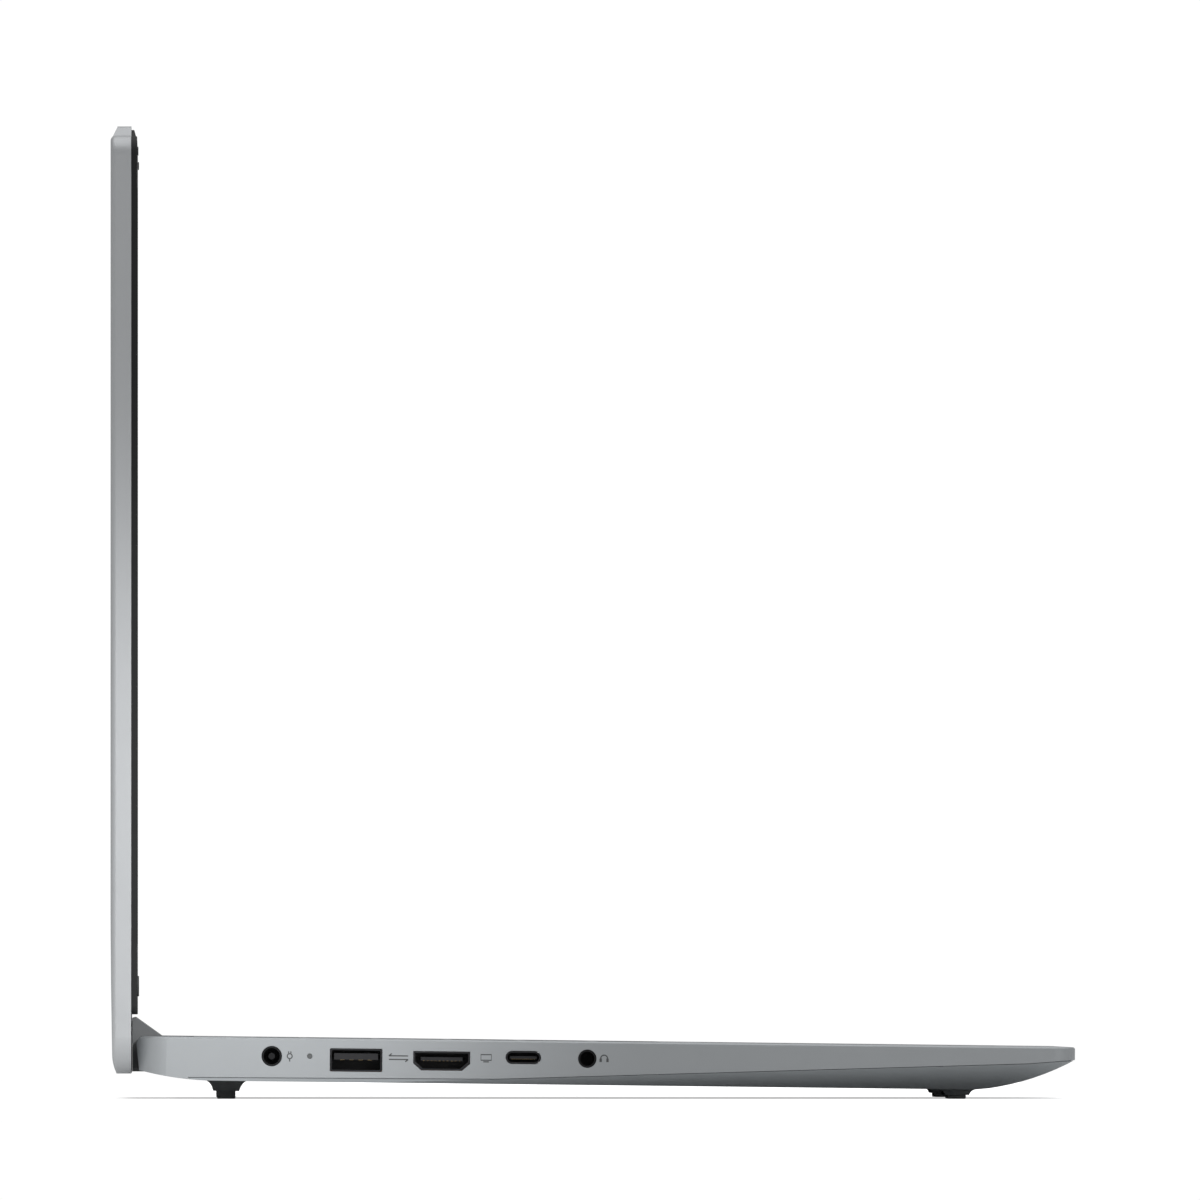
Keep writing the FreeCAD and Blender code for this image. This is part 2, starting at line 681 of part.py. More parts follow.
def make_cooling():
    plate = box(-75, -35, -80, -40, -3.2, "board_low - 1.2")
    pipe = [(-60, -78), (-60, -22), (-58.4, -18.8, -54, -18), (124, -18),
            (124, -26), (-52, -26), (-52, -78)]
    piece("heat_pipe", fuse([padded("XY", [pipe], -4.4, -3.2), plate]), BASE)
    fins = [box(60, 124, -26, -18, -3.2, -3.0)]
    fins += [box(60.4 + n * 1.6, 60.7 + n * 1.6, -26, -18, -3.1, 0.1) for n in range(40)]
    fins.append(box(60, 124, -26, -18, -0.1, 0.1))
    piece("heatsink_fins", fuse(fins), BASE)
    centre = ("fan_x", "fan_y")
    shell = padded("XY", [rectangle(60, 124, -88, -27, 6)], -5.2, 0.1)
    tools = [rod("z", (*centre, -4.8), 4.5, "fan_radius + 1.6"),
             box(65.4, 118.6, "fan_y", -20, -4.8, -0.3),
             rod("z", (*centre, -6), 2, 17), rod("z", (*centre, -1), 2, 17)]
    spokes = [box("fan_x - 27", "fan_x + 27", "fan_y - 1.5", "fan_y + 1.5", -5.2, -4.8),
              rod("z", (*centre, -5.2), 0.4, 6), rod("z", (*centre, -4.9), 4.2, 1.2)]
    piece("fan_housing", fuse([cut(shell, tools)] + spokes), BASE)
    hub = rod("z", (*centre, -4.4), 3.7, 8.5)
    blades = []
    middle = V(value("fan_x"), value("fan_y"), 0)
    for number in range(31):
        blade = box(0, 0.6, 8, "fan_radius - 0.2", -4.2, -0.9)
        turn = FreeCAD.Rotation(V(0, 0, 1), number * 360 / 31)
        blade.Placement = FreeCAD.Placement(middle, turn).multiply(blade.Placement)
        blades.append(blade)
    bore = rod("z", (*centre, -5), 6, 1.3)
    piece("fan_rotor", cut(fuse([hub] + blades), [bore]), BASE)


def make_battery_and_speakers():
    cells = [box(-124.5 + n * 83, -42.5 + n * 83, -196, -110, -5.2, 0.3) for n in range(3)]
    frame = box(-125, 125, -110, -105.5, -4.6, -0.5)
    piece("battery_pack", fuse(cells + [frame, box(-124, 124, -190, -116, -4.4, -0.6)]), BASE)
    speakers = []
    for hand in (-1, 1):
        x0, x1 = sorted((hand * 133, hand * 163))
        chamber = box(x0, x1, -197, -140, -5.2, 0.6)
        speakers.append(cut(chamber, [rod("z", ((x0 + x1) / 2, -184, -6), 3, 8)]))
    piece("speakers", group(speakers), BASE)


# ---- hinges ----

def bracket_screw_places():
    return [(hand * x, -17.8) for hand in (-1, 1) for x in (143, 150.5, 167.5, 174)]


def make_hinges():
    for side, hand in (("left", -1), ("right", 1)):
        def span(x0, x1):
            return sorted((hand * x0, hand * x1))
        leaf = box(*span(139, 177), -22.4, -13, 1.9, 2.9)
        neck = box(*span(152.5, 165), -13.5, 0, 1.9, 2.9)
        eye = rod("x", (span(152.5, 165)[0], 0, 0), 12.5, "knuckle")
        holes = [rod("x", (span(150, 168)[0], 0, 0), 18, "shaft_radius + 0.05")]
        holes += [rod("z", (x, y, 1), 3, "shank") for x, y in bracket_screw_places() if x * hand > 0]
        piece(f"hinge_bracket_{side}", cut(fuse([leaf, neck, eye]), holes), BASE)
        shaft = rod("x", (span(138, 166)[0], 0, 0), 28, "shaft_radius")
        arm_outline = [(-1.4, 0.9), (-1.4, -0.9), (0.5, -1.6), (2.5, -1.4), (6.4, 3.0), (10.25, 3.0),
                       (10.25, 6.8), (5.2, 6.8), (0.2, 1.9)]
        arm = padded("YZ", [arm_outline], *span(138, 146))
        strap = box(*span(126, 146), 9.45, 10.25, 3.0, 58)
        bored = [rod("x", (span(137, 167)[0], 0, 0), 30, "shaft_bore")]
        bored += [rod("y", (x, 8, z), 4, "shank") for x, z in lid_screw_places() if x * hand > 0]
        piece(f"hinge_arm_{side}", cut(fuse([shaft, arm, strap]), bored), LID)
    screws = []
    for x, y in bracket_screw_places():
        head = rod("z", (x, y, 1.3), 0.6, "screw_head")
        shank = rod("z", (x, y, 1.9), 1.7, 0.7)
        screws.append(fuse([head, shank]))
    piece("hinge_screws_base", group(screws), BASE)
    screws = []
    for x, z in lid_screw_places():
        head = rod("y", (x, 8.85, z), 0.6, "screw_head")
        shank = rod("y", (x, 9.45, z), 1.4, 0.7)
        screws.append(fuse([head, shank]))
    piece("hinge_screws_lid", group(screws), LID)


def lid_screw_places():
    return [(hand * x, z) for hand in (-1, 1) for x, z in ((130, 9), (141, 13))]


# ---- lid ----

def lid_outline(inset, low, low_radius):
    """The lid seen from the front, with round corners."""
    top = value("lid_top") - inset
    side = value("half_wide") - inset
    k = 1 - math.sqrt(0.5)
    radius = 5.0
    return [
        (side - low_radius, low),
        (side - low_radius * k, low + low_radius * k, side, low + low_radius),
        (side, top - radius),
        (side - radius * k, top - radius * k, side - radius, top),
        (-side + radius, top),
        (-side + radius * k, top - radius * k, -side, top - radius),
        (-side, low + low_radius),
        (-side + low_radius * k, low + low_radius * k, -side + low_radius, low),
    ]


def hump_outline(inset, rise):
    """The low hump in the middle of the lid's top edge, reaching down into the lid."""
    top = value("lid_top")
    return [
        (80 - inset, top - 3),
        (79 - inset, top - 0.05),
        (75.8, top + 0.5, 74, top + 1.6),
        (72.0, top + rise - 0.7),
        (71.2, top + rise - 0.2, 69.6, top + rise),
        (-69.6, top + rise),
        (-71.2, top + rise - 0.2, -72.0, top + rise - 0.7),
        (-74, top + 1.6),
        (-75.8, top + 0.5, -79 + inset, top - 0.05),
        (-80 + inset, top - 3),
    ]


def make_lid_cover():
    cover = new_body()
    low = value("lid_low")
    prism(cover, "XZ", [lid_outline(0, low, 9)], "lid_rim", "lid_outer")
    round_edges(cover, "PartDesign::Fillet", "1.3",
                lambda b: b.YMin > value("lid_outer") - 0.01)
    prism(cover, "XZ", [hump_outline(0, value("hump_rise"))], "lid_rim", "lid_outer - 0.1")
    # the back falls away towards the hinge so that it clears the table when opened flat
    curve = [(11.4, 20, 11.51, 45), (13, 45), (13, -7), (9.0, -7), (9.985, -4.85),
             (10.9, -2.1, 11.1, 0)]
    pocket(cover, "YZ", [curve], -181, 181)
    room = [rectangle("-half_wide + 1.6", "half_wide - 1.6", "bezel_low + 0.6", "lid_top - 1.6", 3)]
    pocket(cover, "XZ", room, "lid_rim - 1", "lid_skin")
    pocket(cover, "XZ", [rectangle(-148, 148, 2, "bezel_low + 1")], "lid_rim - 1", "lid_skin")
    hump_room = rectangle(-68, 68, "lid_top - 3", "lid_top + hump_rise - 1.6", 1)
    pocket(cover, "XZ", [hump_room], "lid_rim - 1", "lid_skin")
    # the hump's back slopes up to its front edge
    slope = [("lid_outer + 0.5", "lid_top - 0.6"), ("lid_outer + 0.5", "lid_top + 6"),
             ("lid_outer - 1.6", "lid_top + 6"), ("lid_outer - 1.6", "lid_top + hump_rise - 0.2")]
    pocket(cover, "YZ", [slope], -82, 82)
    blind = [rod("y", (x, 10.0, z), 0.9, 0.7) for x, z in lid_screw_places()]
    piece("lid_cover", cut(cover, blind), LID)


SHUTTER_TRAVEL = 6.0
LENS_HEIGHT = 226.0


def make_bezel():
    bezel = new_body()
    low = value("bezel_low")
    prism(bezel, "XZ", [lid_outline(0.2, low, 2)], "bezel_face", "lid_rim - 0.04")
    prism(bezel, "XZ", [hump_outline(0.3, 3.0)], "bezel_face", "lid_rim - 0.04")
    pocket(bezel, "XZ", [rectangle("-glass_half", "glass_half", "glass_low", "glass_top", 1)],
           "bezel_face - 1", "lid_rim + 1")
    # the front edge of the hump is bevelled back
    bevelled = [("bezel_face - 0.1", "lid_top - 0.2"), ("bezel_face + 1.1", "lid_top + 4.2"),
                ("bezel_face - 0.1", "lid_top + 4.2")]
    pocket(bezel, "YZ", [bevelled], -90, 90)
    pocket(bezel, "XZ", [("circle", 0, LENS_HEIGHT, 2.0)], "bezel_face - 1", "lid_rim + 1")
    pocket(bezel, "XZ", [rectangle(2.7, 12.6, LENS_HEIGHT + 2.6, LENS_HEIGHT + 3.9)],
           "bezel_face - 1", "lid_rim + 1")
    piece("screen_bezel", bezel, LID)
    plate = box(3.2, 12.2, "lid_rim + 0.1", "lid_rim + 0.45", LENS_HEIGHT - 2.7, LENS_HEIGHT + 4.1)
    tab = box(9.2, 12.2, "bezel_face - 0.2", "lid_rim + 0.2", LENS_HEIGHT + 2.75, LENS_HEIGHT + 3.75)
    piece("privacy_shutter", fuse([plate, tab]), LID)
    piece("camera_lens", rod("y", (0, "lid_rim + 0.6", LENS_HEIGHT), 0.7, 1.9), LID)
    board = [box(-34, 34, 7.9, 8.7, 223.2, 229.0), box(-4, 4, 7.65, 7.9, 223.4, 228.8)]
    board += [box(x - 1.7, x + 1.7, 7.2, 7.9, 224.5, 227) for x in (-30, 30)]
    piece("camera_board", fuse(board), LID)
    bumpers = [rod("y", (x, "bezel_face - 0.3", z), 0.3, 2.6) for x, z in ((-165, 17), (165, 17))]
    bumpers += [box(x - 6, x + 6, "bezel_face - 0.3", "bezel_face", 225.6, 227.4) for x in (-120, 120)]
    piece("bezel_bumpers", group(bumpers), LID)


def make_panel():
    outline = rectangle("-panel_half", "panel_half", "panel_low", "panel_top", 1)
    piece("lcd_panel", padded("XZ", [outline], "lid_rim", "panel_back"), LID)
    aerials = [box(x - 22, x + 22, 8.9, 9.3, 223.4, 227.6) for x in (-95, 95)]
    piece("wifi_antennas", group(aerials), LID)


def make_hinge_cap():
    """The long cover between the ears: a barrel on the hinge line with a wedge up to the lid."""
    cap = new_body()
    outline = [(6.1, 9.0), (5.3, 9.2), (-2.57, 3.57), (-3.9, -2.04, 0, -4.4), (6.1, -4.4)]
    prism(cap, "YZ", [outline], "-cap_half", "cap_half")
    inside = [(6.6, 7.0), (4.4, 7.0), (-1.6, 2.75), (-2.9, -1.35, 0, -3.2), (6.6, -3.2)]
    pocket(cap, "YZ", [inside], "-cap_half + 1.4", "cap_half - 1.4")
    round_edges(cap, "PartDesign::Fillet", "0.4",
                lambda b: b.YMax < 5.5 and b.ZMin > 9 and b.XLength > 200)
    clips = [box(x - 4, x + 4, 5.4, 8.4, 7.2, 8.2) for x in (-110, -55, 0, 55, 110)]
    ends = rod("x", ("-cap_half - 1", 0, 0), "2 * cap_half + 2", "shaft_radius + 0.1")
    piece("hinge_cap", fuse([cut(cap, [ends])] + clips), LID)


def cable(label, points, radius, side):
    """A round cable: straight runs joined by tangent arcs, each as large as its runs allow."""
    points = [V(*point) for point in points]
    edges = []
    start = points[0]
    for before, corner, after in zip(points, points[1:], points[2:]):
        inward, outward = (before - corner).normalize(), (after - corner).normalize()
        reach = 0.45 * min(before.distanceToPoint(corner), after.distanceToPoint(corner))
        half_turn = (math.pi - inward.getAngle(outward)) / 2
        bend = reach / math.tan(half_turn)
        middle = (inward + outward).normalize()
        near = corner + middle * (bend / math.cos(half_turn) - bend)
        first, last = corner + inward * reach, corner + outward * reach
        edges += [Part.LineSegment(start, first).toShape(), Part.Arc(first, near, last).toShape()]
        start = last
    edges.append(Part.LineSegment(start, points[-1]).toShape())
    path = Part.Wire(edges)
    ring = Part.Wire(Part.makeCircle(radius, points[0], points[1] - points[0]))
    made = doc.addObject("Part::Feature", "Cable")
    made.Shape = path.makePipeShell([ring], True, True)
    piece(label, made, side)


def make_cables():
    upper = [(-158, 0, 0), (-134, 0, 0), (-128, 1.5, 1.5), (-122, 6.6, 5.2),
             (-116, 8.0, 10.5), (-104, 8.1, 15.0), (-88, 8.1, 15.6)]
    cable("display_cable_lid", upper, 1.0, LID)
    lower = [(-158, 0, 0), (-168, 0, 0), (-171, -2.5, -0.6), (-171.5, -9, -2.4), (-168, -14, -3.2),
             (-158, -17, -3.4), (-146, -20, -3.4), (-136, -23.5, -3.0)]
    cable("display_cable_base", lower, 1.0, BASE)


make_top_case()
make_bottom_cover()
make_feet()
make_bottom_screws()
make_keyboard()
make_touchpad()
make_ports()
make_boards()
make_cooling()
make_battery_and_speakers()
make_hinges()
make_lid_cover()
make_bezel()
make_panel()
make_hinge_cap()
make_cables()
doc.recompute()

failed = [t for t in doc.Objects if "Invalid" in t.State or "Error" in t.State]
if failed:
    raise RuntimeError(f"failed: {[(t.Label, t.TypeId) for t in failed]}")
os.makedirs("parts", exist_ok=True)
for label, made in PIECES.items():
    shape = made.Shape
    if shape.isNull() or not shape.isValid():
        raise RuntimeError(f"{label} has no valid shape")
    shape.exportStep(f"parts/{label}.step")
    edge = shape.BoundBox
    print(f"{label:22s} solids {len(shape.Solids):3d}  volume {shape.Volume:10.1f}"
          f"  y {edge.YMin:8.2f} {edge.YMax:8.2f}  z {edge.ZMin:7.2f} {edge.ZMax:7.2f}")
print(f"{len(PIECES)} pieces, hinge line at y {axis_y:.3f}")
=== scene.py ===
import json
import math
import bpy
import bmesh
from mathutils import Matrix, Vector

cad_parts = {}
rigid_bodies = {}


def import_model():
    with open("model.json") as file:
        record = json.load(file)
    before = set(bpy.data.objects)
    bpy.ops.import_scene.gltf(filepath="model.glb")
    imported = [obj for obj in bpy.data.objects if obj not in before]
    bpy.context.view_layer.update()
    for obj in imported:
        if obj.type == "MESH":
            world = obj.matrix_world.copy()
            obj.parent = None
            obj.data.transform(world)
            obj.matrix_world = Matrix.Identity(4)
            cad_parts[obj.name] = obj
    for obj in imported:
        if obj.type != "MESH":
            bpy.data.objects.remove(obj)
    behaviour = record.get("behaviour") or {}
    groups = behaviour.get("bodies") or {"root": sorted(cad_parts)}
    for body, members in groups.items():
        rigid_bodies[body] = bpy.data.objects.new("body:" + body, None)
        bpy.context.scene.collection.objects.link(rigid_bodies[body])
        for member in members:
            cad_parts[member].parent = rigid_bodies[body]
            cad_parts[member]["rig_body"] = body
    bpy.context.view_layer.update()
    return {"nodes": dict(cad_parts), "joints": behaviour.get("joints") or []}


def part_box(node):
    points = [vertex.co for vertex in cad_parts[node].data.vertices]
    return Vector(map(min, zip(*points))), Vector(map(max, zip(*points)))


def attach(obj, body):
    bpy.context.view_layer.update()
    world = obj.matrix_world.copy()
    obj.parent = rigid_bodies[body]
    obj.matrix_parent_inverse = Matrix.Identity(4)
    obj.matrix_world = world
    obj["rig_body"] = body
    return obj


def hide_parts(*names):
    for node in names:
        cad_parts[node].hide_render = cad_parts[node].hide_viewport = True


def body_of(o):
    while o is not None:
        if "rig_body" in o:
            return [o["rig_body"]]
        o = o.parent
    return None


# finishes, keycaps, print and studio for a laptop computer that stands open at a right angle
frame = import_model()

mm = 0.001    # lengths are in metres, so this is one millimetre
nodes = frame["nodes"]
joints = {joint["name"]: joint for joint in frame["joints"]}

# the base leans forward on its feet: pieces for it are built level about the hinge line, then leaned
hingeLine = Vector(joints["lid_hinge"]["pos_m"])
pressWay = Vector(joints["space_press"]["axis"])
leanAngle = math.atan2(pressWay.y, -pressWay.z)
baseSpace = Matrix.Translation(hingeLine) @ Matrix.Rotation(leanAngle, 4, "X")
levelSpace = baseSpace.inverted()

# what a finish has unless it says otherwise
plainFinish = dict(metal=0.0, shine=0.5, edge=0.0)

# grain is a fine bump and cloud a slow drift of colour, both in features per metre;
# depth (of the grain) and edge (radius of worn edges) are in mm, drift is a share of the colour
finishes = {
    # shells and covers
    "baseShell": dict(colour=(0.312, 0.328, 0.340), metal=0.35, rough=0.46,
                      grain=5200, depth=0.012, cloud=9, drift=0.015, edge=0.25),
    "lidShell": dict(colour=(0.385, 0.397, 0.408), metal=0.35, rough=0.44,
                     grain=5200, depth=0.012, cloud=7, drift=0.015, edge=0.20),
    "lowerCover": dict(colour=(0.285, 0.305, 0.318), rough=0.56,
                       grain=3300, depth=0.03, cloud=12, drift=0.08, edge=0.25),
    "hingeCover": dict(colour=(0.125, 0.130, 0.134), metal=0.1, rough=0.50,
                       grain=4200, depth=0.02, cloud=12, drift=0.08, edge=0.2),
    "bezelPlastic": dict(colour=(0.008, 0.0085, 0.009), shine=0.22, rough=0.52,
                         grain=3800, depth=0.02, cloud=15, drift=0.15, edge=0.15),
    # what is touched
    "footRubber": dict(colour=(0.240, 0.250, 0.256), rough=0.82,
                       grain=2600, depth=0.05, cloud=60, drift=0.18, edge=0.3),
    "bumperRubber": dict(colour=(0.045, 0.047, 0.049), rough=0.75,
                         grain=2600, depth=0.04, cloud=60, drift=0.15, edge=0.3),
    "keyPlastic": dict(colour=(0.150, 0.157, 0.162), rough=0.50,
                       grain=4600, depth=0.02, cloud=40, drift=0.06),
    "touchFilm": dict(colour=(0.290, 0.302, 0.309), metal=0.1, rough=0.36,
                      grain=7000, depth=0.005, cloud=20, drift=0.04, edge=0.1),
    # sockets
    # the shells and tongues of the USB, video and card sockets: black for the plastic tongues, and painted
    # shade on the metal shells, near black to stand in for the shadow inside each socket
    "portShellPaintedShade": dict(colour=(0.016, 0.016, 0.018), metal=0.2, shine=0.3, rough=0.40,
                      grain=3000, depth=0.01, cloud=300, drift=0.15, edge=0.08),
    "socketPlastic": dict(colour=(0.006, 0.006, 0.007), shine=0.2, rough=0.45,
                          grain=5000, depth=0.01, cloud=80, drift=0.15, edge=0.1),
    "goldContact": dict(colour=(0.44, 0.33, 0.16), metal=1.0, rough=0.28,
                        grain=4000, depth=0.005, cloud=500, drift=0.10),
    # lenses and print
    "ledLens": dict(colour=(0.10, 0.105, 0.105), rough=0.25,
                    grain=3000, depth=0.01, cloud=400, drift=0.05),
    "lensGlass": dict(colour=(0.006, 0.006, 0.010), rough=0.06,
                      grain=2000, depth=0.002, cloud=500, drift=0.30),
    "printInk": dict(colour=(0.82, 0.83, 0.83), rough=0.60,
                     grain=6000, depth=0.004, cloud=300, drift=0.04),
    "sideInk": dict(colour=(0.060, 0.062, 0.064), rough=0.55,
                    grain=6000, depth=0.004, cloud=300, drift=0.06),
    # inside
    "nickelSheet": dict(colour=(0.42, 0.42, 0.41), metal=1.0, rough=0.30,
                        grain=3000, depth=0.01, cloud=300, drift=0.12, edge=0.08),
    "zincSteel": dict(colour=(0.46, 0.46, 0.47), metal=1.0, rough=0.38,
                      grain=1800, depth=0.02, cloud=120, drift=0.15, edge=0.1),
    "chipResin": dict(colour=(0.030, 0.030, 0.033), rough=0.62,
                      grain=6000, depth=0.01, cloud=150, drift=0.20, edge=0.1),
    "bareCopper": dict(colour=(0.62, 0.33, 0.21), metal=1.0, rough=0.34,
                       grain=2500, depth=0.02, cloud=90, drift=0.30, edge=0.1),
    "finAlloy": dict(colour=(0.62, 0.63, 0.64), metal=1.0, rough=0.35,
                     grain=2500, depth=0.01, cloud=90, drift=0.12),
    "cellWrap": dict(colour=(0.035, 0.036, 0.040), rough=0.40,
                     grain=900, depth=0.04, cloud=40, drift=0.25, edge=0.3),
    "domeSilicone": dict(colour=(0.55, 0.56, 0.56), rough=0.55,
                         grain=2500, depth=0.02, cloud=60, drift=0.08),
    "antennaFoil": dict(colour=(0.48, 0.38, 0.20), metal=1.0, rough=0.45,
                        grain=2500, depth=0.02, cloud=200, drift=0.20),
}
handling = {"size": 140, "spread": 0.1}    # smudges that make every finish a little rougher or smoother


def startFinish(name):
    coat = bpy.data.materials.new(name)
    coat.use_nodes = True
    tree = coat.node_tree
    where = tree.nodes.new("ShaderNodeTexCoord").outputs["Object"]
    return coat, tree, tree.nodes["Principled BSDF"], where


def addNoise(tree, where, size, detail=3.0):
    noise = tree.nodes.new("ShaderNodeTexNoise")
    noise.inputs["Scale"].default_value = size
    noise.inputs["Detail"].default_value = detail
    tree.links.new(where, noise.inputs["Vector"])
    return noise.outputs["Fac"]


def addRange(tree, source, low, high, fromLow=0.3, fromHigh=0.7):
    # most of a noise lies between 0.3 and 0.7
    spread = tree.nodes.new("ShaderNodeMapRange")
    spread.inputs["From Min"].default_value = fromLow
    spread.inputs["From Max"].default_value = fromHigh
    spread.inputs["To Min"].default_value = low
    spread.inputs["To Max"].default_value = high
    tree.links.new(source, spread.inputs["Value"])
    return spread.outputs["Result"]


def addBlend(tree, factor, first, second):
    ramp = tree.nodes.new("ShaderNodeValToRGB")
    for stop, place, colour in zip(ramp.color_ramp.elements, (0.25, 0.75), (first, second)):
        stop.position = place
        stop.color = (*colour, 1)
    tree.links.new(factor, ramp.inputs["Fac"])
    return ramp.outputs["Color"]


def scaled(colour, share):
    return tuple(min(1.0, channel * share) for channel in colour)


def addSurface(tree, shader, height, depth, edge=0.0):
    bump = tree.nodes.new("ShaderNodeBump")
    bump.inputs["Strength"].default_value = 1.0
    bump.inputs["Distance"].default_value = depth * mm
    tree.links.new(height, bump.inputs["Height"])
    if edge:
        rounded = tree.nodes.new("ShaderNodeBevel")
        rounded.samples = 4
        rounded.inputs["Radius"].default_value = edge * mm
        tree.links.new(rounded.outputs["Normal"], bump.inputs["Normal"])
    tree.links.new(bump.outputs["Normal"], shader.inputs["Normal"])


def makeFinish(name, look):
    coat, tree, shader, where = startFinish(name)
    pale = scaled(look["colour"], 1 + look["drift"])
    dark = scaled(look["colour"], 1 - look["drift"])
    colour = addBlend(tree, addNoise(tree, where, look["cloud"]), dark, pale)
    tree.links.new(colour, shader.inputs["Base Color"])
    shader.inputs["Metallic"].default_value = look["metal"]
    shader.inputs["Specular IOR Level"].default_value = look["shine"]
    smooth = look["rough"] * (1 - handling["spread"])
    worn = look["rough"] * (1 + handling["spread"])
    rough = addRange(tree, addNoise(tree, where, handling["size"]), smooth, worn)
    tree.links.new(rough, shader.inputs["Roughness"])
    addSurface(tree, shader, addNoise(tree, where, look["grain"], detail=2.0), look["depth"], look["edge"])
    return coat


# green solder mask over a web of traces
boardLook = {
    "mask": (0.010, 0.045, 0.028),
    "trace": (0.030, 0.105, 0.062),
    "cells": 420,              # per metre
    "traceFade": (0.02, 0.05),  # where a trace starts to fade and where it ends
    "traceHigh": 0.03,         # mm
    "rough": 0.34,
}


def makeBoardFinish():
    coat, tree, shader, where = startFinish("circuitBoard")
    cells = tree.nodes.new("ShaderNodeTexVoronoi")
    cells.feature = "DISTANCE_TO_EDGE"
    cells.inputs["Scale"].default_value = boardLook["cells"]
    tree.links.new(where, cells.inputs["Vector"])
    trace = addRange(tree, cells.outputs["Distance"], 1.0, 0.0, *boardLook["traceFade"])
    colour = addBlend(tree, trace, boardLook["mask"], boardLook["trace"])
    tree.links.new(colour, shader.inputs["Base Color"])
    shader.inputs["Roughness"].default_value = boardLook["rough"]
    addSurface(tree, shader, trace, boardLook["traceHigh"])
    return coat


# the panel is off: near-black cells behind a matte film
screenLook = {
    "dark": (0.0055, 0.006, 0.0075),
    "pale": (0.010, 0.011, 0.013),
    "cells": 9000,             # per metre
    "cellDepth": 0.004,        # mm
    "smears": 14,              # per metre
    "rough": (0.26, 0.34),
    "film": 0.25,
    "filmRough": 0.3,
}


def makeScreenFinish():
    coat, tree, shader, where = startFinish("screenFilm")
    cells = addNoise(tree, where, screenLook["cells"], detail=1.0)
    colour = addBlend(tree, cells, screenLook["dark"], screenLook["pale"])
    tree.links.new(colour, shader.inputs["Base Color"])
    smear = addNoise(tree, where, screenLook["smears"])
    tree.links.new(addRange(tree, smear, *screenLook["rough"]), shader.inputs["Roughness"])
    shader.inputs["Coat Weight"].default_value = screenLook["film"]
    shader.inputs["Coat Roughness"].default_value = screenLook["filmRough"]
    addSurface(tree, shader, cells, screenLook["cellDepth"])
    return coat


# woven cable jacket: two crossed waves make the braid
jacketLook = {
    "dark": (0.010, 0.010, 0.011),
    "pale": (0.045, 0.045, 0.048),
    "strands": 900,            # per metre
    "strandHigh": 0.08,        # mm
    "rough": 0.7,
}


def makeJacketFinish():
    coat, tree, shader, where = startFinish("cableJacket")
    weave = tree.nodes.new("ShaderNodeMath")
    weave.operation = "MULTIPLY"
    for slot, direction in enumerate(("X", "Z")):
        wave = tree.nodes.new("ShaderNodeTexWave")
        wave.bands_direction = direction
        wave.inputs["Scale"].default_value = jacketLook["strands"]
        tree.links.new(where, wave.inputs["Vector"])
        tree.links.new(wave.outputs["Fac"], weave.inputs[slot])
    colour = addBlend(tree, weave.outputs[0], jacketLook["dark"], jacketLook["pale"])
    tree.links.new(colour, shader.inputs["Base Color"])
    shader.inputs["Roughness"].default_value = jacketLook["rough"]
    addSurface(tree, shader, weave.outputs[0], jacketLook["strandHigh"])
    return coat


# every finish by its name, ready to wear
coats = {name: makeFinish(name, {**plainFinish, **look}) for name, look in finishes.items()}
coats["circuitBoard"] = makeBoardFinish()
coats["screenFilm"] = makeScreenFinish()
coats["cableJacket"] = makeJacketFinish()
print("finishes made:", len(coats))

# which finish each piece of the machine wears
wears = {
    "baseShell": ["top_case"],
    "lidShell": ["lid_cover"],
    "lowerCover": ["bottom_cover"],
    "hingeCover": ["hinge_cap"],
    "bezelPlastic": ["screen_bezel", "privacy_shutter", "power_button"],
    "footRubber": ["rear_foot_rubber", "front_feet_rubber"],
    "bumperRubber": ["bezel_bumpers"],
    "touchFilm": ["touchpad"],
    "nickelSheet": ["click_switches"],
    # the socket shells wear painted shade: near black for the shadow inside them
    "portShellPaintedShade": ["usb_a_port_left", "usb_a_port_right", "usb_c_port", "video_port", "card_slot"],
    "zincSteel": ["bottom_screws", "board_screws", "hinge_screws_base", "hinge_screws_lid",
                  "keyboard_plate", "touchpad_tray", "hinge_bracket_left", "hinge_bracket_right",
                  "hinge_arm_left", "hinge_arm_right"],
    "socketPlastic": ["dc_jack", "audio_jack", "fan_housing", "fan_rotor", "speakers"],
    "chipResin": ["processor"],
    "bareCopper": ["heat_pipe"],
    "finAlloy": ["heatsink_fins"],
    "cellWrap": ["battery_pack"],
    "domeSilicone": ["dome_sheet"],
    "ledLens": ["status_led"],
    "lensGlass": ["camera_lens"],
    "antennaFoil": ["wifi_antennas"],
    "circuitBoard": ["motherboard", "side_board", "memory_module", "ssd_module", "wifi_card",
                     "camera_board"],
    "screenFilm": ["lcd_panel"],
    "cableJacket": ["display_cable_lid", "display_cable_base", "flat_cables"],
}


def dress(piece, coatName):
    piece.data.materials.clear()
    piece.data.materials.append(coats[coatName])


for coatName, wearers in wears.items():
    for wearer in wearers:
        dress(nodes[wearer], coatName)
print("machine dressed:", sum(len(wearers) for wearers in wears.values()), "pieces")


sharpTurn = math.radians(35)    # an edge that turns more than this stays sharp


def addPiece(name, build, body, coatName):
    # build fills a mesh in the base's level space
    shape = bmesh.new()
    build(shape)
    bmesh.ops.recalc_face_normals(shape, faces=shape.faces)
    mesh = bpy.data.meshes.new(name)
    shape.to_mesh(mesh)
    shape.free()
    mesh.transform(baseSpace)
    mesh.shade_smooth()
    mesh.set_sharp_from_angle(angle=sharpTurn)
    piece = bpy.data.objects.new(name, mesh)
    bpy.context.scene.collection.objects.link(piece)
    dress(piece, coatName)
    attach(piece, body)
    return piece


